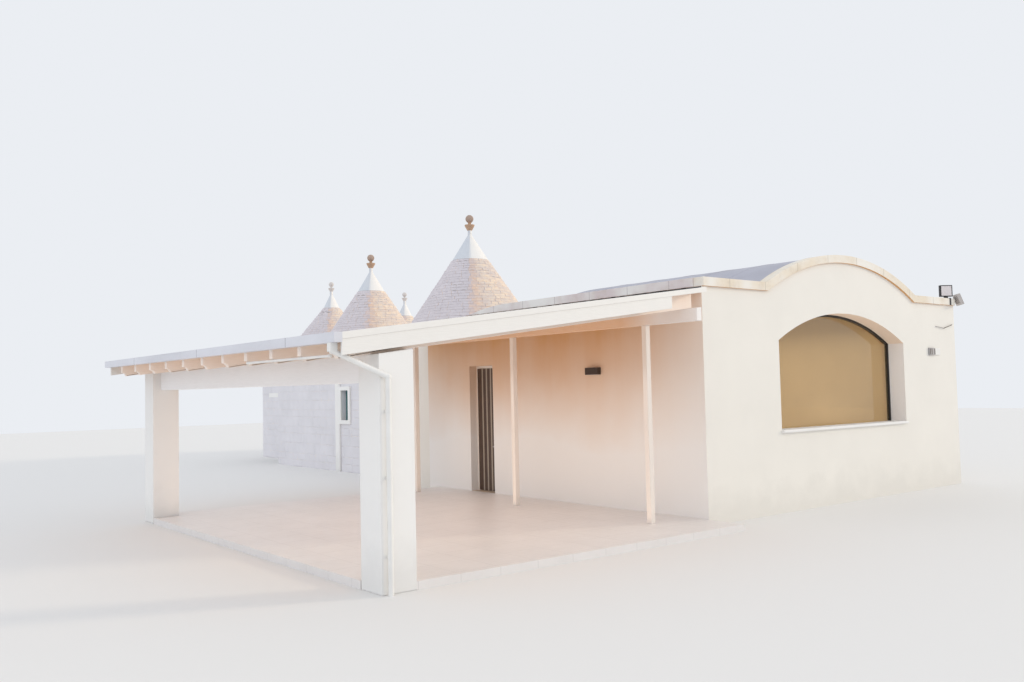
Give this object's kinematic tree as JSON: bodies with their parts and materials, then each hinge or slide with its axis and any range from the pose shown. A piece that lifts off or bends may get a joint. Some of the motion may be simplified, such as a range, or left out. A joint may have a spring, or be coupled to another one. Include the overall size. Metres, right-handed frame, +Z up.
{
  "type": "trullo house",
  "caption": "Whitewashed stone house with a vaulted front wing, an arched gable window, a timber porch and trulli with conical dry-stone roofs.",
  "frame": {"origin": "left front corner of the front gable, at ground level", "axes": "+X along the front gable to the right, +Y into the house, +Z up"},
  "size_m": [16.88, 24.4785, 7.1618],
  "materials": {
    "lime_render": "fine lime render, matt",
    "coping_stone": "sawn limestone, weathered",
    "roof_membrane": "grey-blue bitumen sheet, matt",
    "floor_tile": "pale beige floor tiles, satin",
    "dark_frame": "dark grey powder coat, satin",
    "window_glass": "clear float glass",
    "white_timber": "planed softwood in white paint",
    "dark_timber": "dark brown stained boards",
    "gutter_metal": "pale grey sheet metal",
    "limewash": "rough masonry in limewash",
    "limestone": "dry-laid limestone slabs",
    "terracotta": "fired clay, weathered",
    "teal_paint": "teal painted wood"
  },
  "bodies": {
    "house": {"front_gable_wall": "lime_render", "gable_coping": "coping_stone", "side_kerbs": "coping_stone", "left_wall_front": "lime_render", "left_wall_rear": "lime_render", "left_wall_lintel": "lime_render", "right_wall": "lime_render", "rear_wall": "lime_render", "barrel_vault": "lime_render", "vault_membrane": "roof_membrane", "vault_end_wall": "lime_render", "link_roof": "roof_membrane", "wing_floor": "floor_tile", "window_frame": "dark_frame", "window_glass": "window_glass", "window_sill": "limewash", "door_frame": "white_timber", "wall_light": "dark_frame", "floodlights": "dark_frame", "porch_floor": "floor_tile", "porch_pillars": "lime_render", "outer_beam": "white_timber", "inner_beam": "white_timber", "slender_posts": "white_timber", "rafters": "white_timber", "barge_boards": "white_timber", "porch_deck": "white_timber", "porch_membrane": "roof_membrane", "gutter": "gutter_metal", "downpipe": "gutter_metal", "trullo_walls_1": "limewash", "trullo_walls_2": "limewash", "trullo_walls_3": "limewash", "trullo_walls_4": "limewash", "stone_cone_1": "limestone", "stone_cone_2": "limestone", "stone_cone_3": "limestone", "stone_cone_4": "limestone", "cone_tips": "limewash", "pinnacles": "terracotta", "trullo_floors": "floor_tile", "small_window_frame": "teal_paint", "small_window_glass": "window_glass", "white_trim": "limewash", "trullo_door_frame": "teal_paint", "door_canopy": "limewash"},
    "entrance_door": {"door_leaf": "dark_timber"},
    "trullo_door": {"trullo_door_leaf": "teal_paint"}
  },
  "joints": [
    {"name": "entrance_door_hinge", "type": "hinge", "parent": "house", "child": "entrance_door", "pos_m": [0.253, 6.467, 0.1], "axis": [0, 0, 1], "range_deg": [0, 90]},
    {"name": "trullo_door_hinge", "type": "hinge", "parent": "house", "child": "trullo_door", "pos_m": [2.453, 20.217, 0.1], "axis": [0, 0, 1], "range_deg": [0, 90]}
  ]
}
